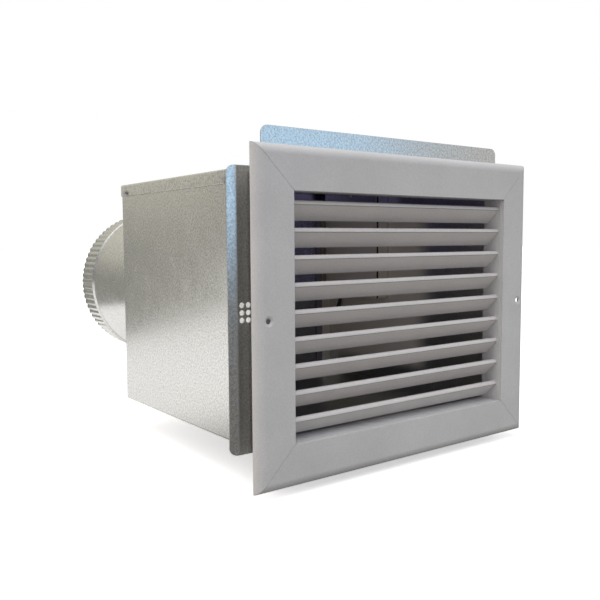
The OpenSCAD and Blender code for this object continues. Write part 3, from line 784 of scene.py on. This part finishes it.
def middle(low, high, axis):
    """The middle of a box along one axis."""
    return (low[axis] + high[axis]) / 2


# ---------------------------------------------------------------- operators

class HRU_OT_sheet_metal(bpy.types.Operator):
    """Gives the casing, lid, back panel, compartment and fan plate their galvanised finish"""
    bl_idname = "hru.sheet_metal"
    bl_label = "Finish the sheet metal"

    def execute(self, context):
        dress(SHEET_NODES, galvanised())
        return {"FINISHED"}


class HRU_OT_grille(bpy.types.Operator):
    """Gives the grille frame, its corner keys and the louvre core their finishes"""
    bl_idname = "hru.grille"
    bl_label = "Finish the grille"

    def execute(self, context):
        dress(GRILLE_NODES, powder_coat())
        # Painted shade: the louvre channels get a darker, bluer copy of the white coat.
        dress(LOUVRE_NODES, powder_coat("Louvre channel coat with painted shade", (0.93, 0.94, 0.97)))
        # Painted light: the louvre blades get a lighter, pinker copy of the white coat.
        dress(BLADE_NODES, powder_coat("Louvre blade coat with painted light", (1.05, 1.015, 1.01), groove=True))
        dress(["corner_keys"], plated_steel("Cast zinc key", (0.5, 0.5, 0.5), 0.42))
        return {"FINISHED"}


class HRU_OT_small_parts(bpy.types.Operator):
    """Gives the screws, rivets, rubber, plastic, bearings and electrical parts their finishes"""
    bl_idname = "hru.small_parts"
    bl_label = "Finish the small parts"

    def execute(self, context):
        low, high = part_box("fan_shaft")
        axis_z = middle(low, high, 2)
        dress(FASTENER_NODES, plated_steel())
        dress(["finger_guard"], moulded("Coated wire", (0.03, 0.03, 0.033), 0.35, 0.5 * MM))
        dress(BLACK_PLASTIC_NODES, moulded("Moulded plastic", (0.022, 0.022, 0.025), 0.45))
        dress(["filter_frame"], moulded("Filter frame plastic", (0.09, 0.085, 0.11), 0.5))
        dress(RUBBER_NODES, moulded("Black rubber", (0.014, 0.014, 0.014), 0.72, 0.6 * MM, 0.5))
        dress(["terminal_block"], moulded("Terminal plastic", (0.05, 0.22, 0.10), 0.42, 0.7 * MM))
        dress(["board_standoffs"], moulded("Nylon", (0.62, 0.60, 0.54), 0.45, 0.5 * MM))
        dress(["control_board"], solder_mask())
        dress(STEEL_NODES, lathe_turned("Ground steel", (0.70, 0.70, 0.69), 0.24, axis_z))
        dress(["motor_stator"], lathe_turned("Stator laminations", (0.30, 0.30, 0.31), 0.45, axis_z))
        dress(["rotor_magnet"], moulded("Ferrite", (0.06, 0.06, 0.065), 0.6, 0.4 * MM, 0.0))
        dress(["heat_store"], honeycomb_ceramic())
        dress(["store_sleeve"], bead_foam())
        return {"FINISHED"}


class HRU_OT_duct_collar(bpy.types.Operator):
    """Makes the duct collar: a rolled tube with a bead, a lock seam and a crimped end"""
    bl_idname = "hru.duct_collar"
    bl_label = "Make the duct collar"

    WALL = 0.6 * MM
    BEAD_HEIGHT = 1.7 * MM
    BEAD_HALF = 3.0 * MM
    BEAD_TO_CRIMP = 3.5 * MM
    CRIMP_LENGTH = 38 * MM
    RAMP = 6 * MM
    CRIMP_INSET = 1.0 * MM
    FLANGE_INSET = 8.6 * MM
    COLUMNS_PER_CRIMP = 10
    SEAM_ANGLE = math.radians(-62)
    SEAM_HALF = math.radians(3.2)

    def outer_line(self, low, high):
        """The tube's outer outline from the inner flange to the end: (radius, y) pairs."""
        flange_r = (high[0] - low[0]) / 2
        tube_r = flange_r - self.FLANGE_INSET
        crimp_y = high[1] - self.CRIMP_LENGTH
        bead_y = crimp_y - self.BEAD_TO_CRIMP
        fillet = 1.2 * MM
        flange_top = low[1] + self.WALL
        flange = arc((flange_r - self.WALL / 2, low[1] + self.WALL / 2), self.WALL / 2, -90, 90, 6)
        root = arc((tube_r + fillet, flange_top + fillet), fillet, 270, 180, 6)
        plain_y = np.linspace(flange_top + 6 * MM, bead_y - self.BEAD_HALF - 2 * MM, 12)
        plain = np.column_stack([np.full(12, tube_r), plain_y])
        bead_along = np.linspace(bead_y - self.BEAD_HALF, bead_y + self.BEAD_HALF, 13)
        swell = np.cos((bead_along - bead_y) / self.BEAD_HALF * math.pi / 2) ** 2
        bead = np.column_stack([tube_r + self.BEAD_HEIGHT * swell, bead_along])
        crimp_along = crimp_y + self.CRIMP_LENGTH * np.linspace(0.02, 1, 17) ** 1.6
        crimp = np.column_stack([np.full(17, tube_r - self.CRIMP_INSET), crimp_along])
        return np.vstack([flange, root, plain, bead, crimp]), tube_r, crimp_y

    def execute(self, context):
        settings = context.scene.hru_collar
        low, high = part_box("duct_collar")
        axis_z = middle(low, high, 2)
        outer, tube_r, crimp_y = self.outer_line(low, high)
        tube_rows = outer[outer[:, 0] < tube_r + self.BEAD_HEIGHT + self.WALL]
        inner = (tube_rows - [self.WALL, 0])[::-1]
        start = np.array([[inner[-1, 0], low[1]]])
        profile = np.vstack([outer, inner, start])
        count = settings.crimps * self.COLUMNS_PER_CRIMP
        turn = np.linspace(0, 2 * math.pi, count, endpoint=False)[None, :]
        radius = profile[:, :1]
        along = profile[:, 1:]
        wave = 0.5 + 0.5 * np.cos(settings.crimps * turn)
        flute = wave ** 2
        fade = smooth_step(along, crimp_y, crimp_y + self.RAMP)
        apart = np.abs(np.angle(np.exp(1j * (turn - self.SEAM_ANGLE))))
        seam = 1 - smooth_step(apart, 0.75 * self.SEAM_HALF, self.SEAM_HALF)
        on_tube = (radius < tube_r + 0.1 * MM) & (along > low[1] + 2 * MM)
        bare = on_tube * (1 - smooth_step(along, crimp_y - 9 * MM, crimp_y - 7 * MM))
        radius = radius - settings.depth * flute * fade + settings.seam * seam * bare
        points = np.stack([
            radius * np.cos(turn),
            np.broadcast_to(along, radius.shape),
            axis_z + radius * np.sin(turn),
        ], -1)
        faces = grid_faces(len(profile), count, wrap_rows=True, wrap_columns=True)
        finish = galvanised("Galvanised duct")
        piece = mesh_piece("crimped_collar", points.reshape(-1, 3), faces, finish, CASING)
        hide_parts("duct_collar")
        return {"FINISHED"}


class HRU_OT_filter_mat(bpy.types.Operator):
    """Makes the filter mat: a lofted pad of fibres with its edges pinched into the frame"""
    bl_idname = "hru.filter_mat"
    bl_label = "Make the filter mat"

    GRID = 141
    SEED = 11

    def hills(self, count):
        """Smooth random hills from 0 to 1: white noise with its short waves removed."""
        waves = np.fft.rfft2(np.random.default_rng(self.SEED).normal(size=(count, count)))
        tall = np.fft.fftfreq(count)[:, None] * count
        wide = np.fft.rfftfreq(count)[None, :] * count
        reach = np.hypot(tall, wide)
        keep = np.exp(-(reach / 9) ** 2) + 0.35 * np.exp(-(reach / 34) ** 2)
        made = np.fft.irfft2(waves * keep, s=(count, count))
        return (made - made.min()) / np.ptp(made)

    def execute(self, context):
        low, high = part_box("filter_pad")
        loft = context.scene.hru_filter.loft
        share = np.linspace(-1, 1, self.GRID)
        tall, wide = np.meshgrid(share, share, indexing="ij")
        rim = np.maximum(np.abs(tall), np.abs(wide))
        pinch = np.sqrt(np.clip(1 - rim ** 24, 0, 1))
        half = (high[1] - low[1]) / 2
        x = middle(low, high, 0) + wide * (high[0] - low[0]) / 2
        z = middle(low, high, 2) + tall * (high[2] - low[2]) / 2
        depth = half - loft * self.hills(self.GRID)
        centre_y = middle(low, high, 1)
        front = np.stack([x, centre_y - depth * pinch, z], -1).reshape(-1, 3)
        back = np.stack([x, centre_y + depth[::-1] * pinch, z], -1).reshape(-1, 3)
        faces = grid_faces(self.GRID, self.GRID)
        points, faces = joined([(front, faces[:, ::-1]), (back, faces)])
        finish = filter_fibre()
        piece = mesh_piece("filter_mat", points, faces, finish, CASING, weld=0.01 * MM)
        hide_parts("filter_pad")
        return {"FINISHED"}


class HRU_OT_windings(bpy.types.Operator):
    """Makes the motor's coils: one racetrack coil of round turns on each stator tooth"""
    bl_idname = "hru.windings"
    bl_label = "Make the motor windings"

    TEETH = 9
    TURNS = 7
    LONG = 72
    ROUND = 10

    def coil(self, centre_r, tooth_y, half_y, half_w, wire):
        """A fat ring round one tooth: a rounded section carried along a racetrack in the tooth's own axes."""
        along = np.linspace(0, 2 * math.pi, self.LONG, endpoint=False)
        power = 0.55
        path_y = np.sign(np.sin(along)) * np.abs(np.sin(along)) ** power * half_y
        path_w = np.sign(np.cos(along)) * np.abs(np.cos(along)) ** power * half_w
        turn = np.linspace(0, 2 * math.pi, self.ROUND, endpoint=False)
        stack = wire * self.TURNS / 2
        section_r = np.cos(turn) * stack
        section_out = np.sin(turn) * wire
        away = np.stack([path_w, path_y], -1)
        away /= np.linalg.norm(away, axis=1, keepdims=True)
        w = path_w[:, None] + away[:, :1] * section_out
        y = tooth_y + path_y[:, None] + away[:, 1:] * section_out
        r = centre_r + np.broadcast_to(section_r, w.shape)
        uv = np.stack([
            np.broadcast_to(section_r / wire, w.shape),
            np.broadcast_to(along[:, None] / (2 * math.pi), w.shape),
        ], -1)
        return r, y, w, uv.reshape(-1, 2)

    def execute(self, context):
        low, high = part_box("motor_stator")
        axis_z = middle(low, high, 2)
        outer = (high[0] - low[0]) / 2
        inner = 14 * MM
        tooth_half = math.pi * (outer + inner) / 2 / self.TEETH
        r, y, w, uv = self.coil(
            (outer + inner) / 2, middle(low, high, 1), (high[1] - low[1]) / 2 + 0.9 * MM,
            0.45 * tooth_half, 0.75 * MM,
        )
        faces = grid_faces(self.LONG, self.ROUND, wrap_rows=True, wrap_columns=True)
        parts = []
        for tooth in range(self.TEETH):
            angle = 2 * math.pi * (tooth + 0.5) / self.TEETH
            points = np.stack([
                r * math.cos(angle) - w * math.sin(angle),
                y,
                axis_z + r * math.sin(angle) + w * math.cos(angle),
            ], -1)
            parts.append((points.reshape(-1, 3), faces))
        points, all_faces = joined(parts)
        uv = np.tile(uv, (self.TEETH, 1))
        mesh_piece("stator_windings", points, all_faces, winding_copper(), CASING, uv=uv)
        return {"FINISHED"}


class HRU_OT_studio(bpy.types.Operator):
    """Makes the pale floor, the soft lights, the surround and the camera"""
    bl_idname = "hru.studio"
    bl_label = "Make the studio"

    FLOOR_HALF = 14.0
    FLOOR_GAP = 0.5 * MM
    FLOOR_SEEN = 0.55
    FLOOR_SHINE = 0.12
    FLOOR_FRONT = (0.16, 0.15, 0.14)
    FLOOR_BOUNCE = (0.33, 0.32, 0.30)
    CARD_FOOT = ((0.20, 0.71), (-0.22, 0.79), (-0.40, 0.87), (-0.62, 1.07), (-1.00, 1.41))
    CARD_HEIGHT = 1.1
    CARD_TURN = 0.53
    WALL_LOW = (0.20, 0.18, 0.165)
    WALL_HIGH = (0.32, 0.325, 0.355)
    LEFT_WALL = (1.42, 1.36, 1.30)
    LEFT_WALL_EDGE = (45, 75)
    CEILING = (1.15, 1.15, 1.17)
    WINDOW_SOFT = 0.5
    # Azimuth in degrees from, to; height from, to; soft edge in degrees; colour
    WINDOWS = (
        (-12, 43, -0.10, 0.20, 4, (0.66, 0.93, 1.24)),
        (43, 80, -0.10, 0.30, 4, (0.62, 0.60, 0.58)),
        (-85, -45, -0.05, 0.35, 15, (0.60, 0.59, 0.57)),
    )
    # Name, place, target, side, colour, whether it shows in reflections
    LAMPS = (
        ("Overhead softbox", (-0.35, -0.75, 1.9), (0.0, 0.1, 0.0), 1.5, (0.97, 0.98, 1.05), False),
        ("Low fill", (0.06, -0.30, -0.08), (0.02, 0.0, -0.125), 0.10, (1.0, 0.97, 0.86), False),
        ("Inner light", (-0.07, 0.04, 0.02), (0.06, 0.2, 0.0), 0.12, (1.0, 0.96, 0.96), True),
    )

    def floor(self):
        """A wide flat floor just under the lowest tab."""
        share = np.linspace(-self.FLOOR_HALF, self.FLOOR_HALF, 9)
        y, x = np.meshgrid(share, share, indexing="ij")
        points = np.stack([x, y, np.full_like(x, cad_low[2] - self.FLOOR_GAP)], -1).reshape(-1, 3)
        faces = grid_faces(len(share), len(share))[:, ::-1]

        def build(graph, sockets):
            cloud = graph.remap(graph.noise(graph.place(), 1.4, 4.0, 0.5), 0.3, 0.7)
            path = graph.add("ShaderNodeLightPath").outputs
            pale = graph.blend(cloud, (0.86, 0.86, 0.86), (0.9, 0.9, 0.9))
            depth = graph.parts(graph.place())[1]
            behind = graph.remap(depth, 0.0, 0.3, smooth=True)
            mirrored = graph.blend(behind, self.FLOOR_FRONT, pale)
            shade = graph.blend(path["Is Glossy Ray"], pale, mirrored)
            shade = graph.blend(path["Is Diffuse Ray"], shade, self.FLOOR_BOUNCE)
            graph.feed(sockets["Base Color"], shade)
            graph.feed(sockets["Roughness"], graph.remap(cloud, 0.0, 1.0, 0.85, 0.95))
            seen = graph.times(path["Is Camera Ray"], self.FLOOR_SEEN)
            shown = graph.times(graph.times(path["Is Glossy Ray"], behind), self.FLOOR_SHINE)
            graph.feed(sockets["Emission Strength"], graph.plus(seen, shown))

        finish = material("Studio floor", build, Emission_Color=(1.0, 1.0, 1.0, 1.0))
        self.stage_mesh("studio_floor", points, faces, finish)

    def stage_mesh(self, name, points, faces, finish):
        mesh = bpy.data.meshes.new(name)
        mesh.from_pydata(points.tolist(), [], faces.tolist())
        mesh.materials.append(finish)
        made = bpy.data.objects.new(name, mesh)
        bpy.context.scene.collection.objects.link(made)
        return made

    def card(self):
        """A tall dull card out of the camera's sight, which shows only in reflections."""
        foot = np.array(self.CARD_FOOT)
        bottom = np.column_stack([foot, np.full(len(foot), cad_low[2])])
        top = bottom + [0, 0, self.CARD_HEIGHT]
        points = np.concatenate([bottom, top])

        def build(graph, sockets):
            parts = graph.parts(graph.place())
            rise = graph.remap(parts[2], 0.0, 0.24, smooth=True)
            along = graph.remap(parts[0], -self.CARD_TURN, -self.CARD_TURN + 0.12, smooth=True)
            low = graph.blend(along, (0.355, 0.345, 0.305), (0.29, 0.285, 0.26))
            high = graph.blend(along, (0.56, 0.54, 0.465), (0.65, 0.63, 0.55))
            graph.feed(sockets["Base Color"], graph.blend(rise, (0.02, 0.02, 0.02), (0.04, 0.04, 0.04)))
            graph.feed(sockets["Emission Color"], graph.blend(rise, low, high))

        finish = material("Studio card", build, Emission_Strength=1.0, Roughness=0.9)
        made = self.stage_mesh("studio_card", points, grid_faces(2, len(foot)), finish)
        made.visible_camera = False
        made.visible_diffuse = False
        made.visible_shadow = False

    def surround(self, strength):
        """The studio as a world: pale overhead, three windows, and a left wall only diffuse rays see."""
        world = bpy.data.worlds.new("Studio surround")
        bpy.context.scene.world = world
        world.use_nodes = True
        tree = world.node_tree
        tree.nodes.clear()
        graph = Graph(tree)
        direction = graph.add("ShaderNodeTexCoord").outputs["Generated"]
        parts = graph.parts(direction)
        up = parts[2]
        wall = graph.blend(graph.remap(up, -0.1, 0.35, smooth=True), self.WALL_LOW, self.WALL_HIGH)
        glow = graph.blend(graph.remap(up, 0.35, 0.95, smooth=True), wall, self.CEILING)
        path = graph.add("ShaderNodeLightPath").outputs
        azimuth = graph.math("ARCTAN2", parts[0], graph.times(parts[1], -1.0))
        share = graph.remap(path["Is Diffuse Ray"], 0.0, 1.0, 1.0, self.WINDOW_SOFT)
        for left, right, bottom, top, soft, colour in self.WINDOWS:
            across = graph.times(
                graph.remap(azimuth, math.radians(left), math.radians(left + soft), smooth=True),
                graph.remap(azimuth, math.radians(right + soft), math.radians(right), smooth=True),
            )
            tall = graph.times(
                graph.remap(up, bottom, bottom + 0.05, smooth=True),
                graph.remap(up, top + 0.1, top, smooth=True),
            )
            pane = graph.times(across, tall)
            glow = graph.blend(graph.times(pane, share), glow, colour)
        low, high = (math.radians(angle) for angle in self.LEFT_WALL_EDGE)
        aside = graph.remap(graph.math("ABSOLUTE", azimuth), low, high, smooth=True)
        aside = graph.times(aside, graph.math("LESS_THAN", parts[0], 0.0))
        aside = graph.times(aside, path["Is Diffuse Ray"])
        glow = graph.blend(aside, glow, self.LEFT_WALL)
        lit = graph.add("ShaderNodeBackground", {"Color": glow, "Strength": strength}).outputs[0]
        seen = graph.add("ShaderNodeBackground", {"Color": (1.0, 1.0, 1.0, 1.0), "Strength": 1.0}).outputs[0]
        mixed = graph.add("ShaderNodeMixShader", {0: path["Is Camera Ray"], 1: lit, 2: seen}).outputs[0]
        graph.add("ShaderNodeOutputWorld", {"Surface": mixed})

    def lamp(self, power, name, place, target, size, colour, shine):
        """A square area light at a place, facing a target."""
        data = bpy.data.lights.new(name, "AREA")
        data.shape = "SQUARE"
        data.size = size
        data.energy = power
        data.color = colour
        made = bpy.data.objects.new(name, data)
        bpy.context.scene.collection.objects.link(made)
        back = (Matrix.Translation(place).translation - Matrix.Translation(target).translation).normalized()
        made.rotation_mode = "QUATERNION"
        made.rotation_quaternion = back.to_track_quat("Z", "Y")
        made.location = place
        made.visible_camera = False
        made.visible_glossy = shine

    def camera(self, settings):
        """The camera: forward from heading and tilt, then rolled about that line."""
        sin_h, cos_h = math.sin(settings.heading), math.cos(settings.heading)
        sin_t, cos_t = math.sin(settings.tilt), math.cos(settings.tilt)
        forward = np.array([sin_h * cos_t, cos_h * cos_t, -sin_t])
        level = np.array([cos_h, -sin_h, 0.0])
        upright = np.cross(level, forward)
        sin_r, cos_r = math.sin(settings.roll), math.cos(settings.roll)
        right = level * cos_r + upright * sin_r
        up = upright * cos_r - level * sin_r
        data = bpy.data.cameras.new("Camera")
        data.sensor_width = 36.0
        data.lens = settings.lens
        data.clip_start = 0.02
        data.clip_end = 40.0
        made = bpy.data.objects.new("Camera", data)
        bpy.context.scene.collection.objects.link(made)
        turn = Matrix(np.column_stack([right, up, -forward]).tolist())
        made.matrix_world = Matrix.Translation(settings.camera_place) @ turn.to_4x4()
        bpy.context.scene.camera = made

    def execute(self, context):
        settings = context.scene.hru_studio
        context.scene.view_settings.view_transform = "Standard"
        self.floor()
        self.card()
        self.surround(settings.surround)
        powers = (settings.key_power, settings.fill_power, settings.inner_power)
        for lamp, power in zip(self.LAMPS, powers):
            self.lamp(power, *lamp)
        self.camera(settings)
        return {"FINISHED"}


OPERATORS = [
    HRU_OT_sheet_metal,
    HRU_OT_grille,
    HRU_OT_small_parts,
    HRU_OT_duct_collar,
    HRU_OT_filter_mat,
    HRU_OT_windings,
    HRU_OT_studio,
]


class HRU_PT_panel(bpy.types.Panel):
    """Sidebar panel: the unit's sizes and colours, and one button for each group of pieces"""
    bl_idname = "HRU_PT_panel"
    bl_label = "Heat Recovery Unit"
    bl_space_type = "VIEW_3D"
    bl_region_type = "UI"
    bl_category = "Heat Recovery"

    def draw(self, context):
        layout = self.layout
        for attribute, group in SETTINGS.items():
            box = layout.box()
            box.label(text=group.__doc__)
            for name in group.__annotations__:
                box.prop(getattr(context.scene, attribute), name)
        for operator in OPERATORS:
            layout.operator(operator.bl_idname)


def register():
    for group in SETTINGS.values():
        bpy.utils.register_class(group)
    for attribute, group in SETTINGS.items():
        setattr(bpy.types.Scene, attribute, PointerProperty(type=group))
    for operator in OPERATORS:
        bpy.utils.register_class(operator)
    bpy.utils.register_class(HRU_PT_panel)


def unregister():
    bpy.utils.unregister_class(HRU_PT_panel)
    for operator in reversed(OPERATORS):
        bpy.utils.unregister_class(operator)
    for attribute in SETTINGS:
        delattr(bpy.types.Scene, attribute)
    for group in SETTINGS.values():
        bpy.utils.unregister_class(group)


def main():
    register()
    for operator in OPERATORS:
        family, action = operator.bl_idname.split(".")
        getattr(getattr(bpy.ops, family), action)()


if __name__ == "__main__":
    main()
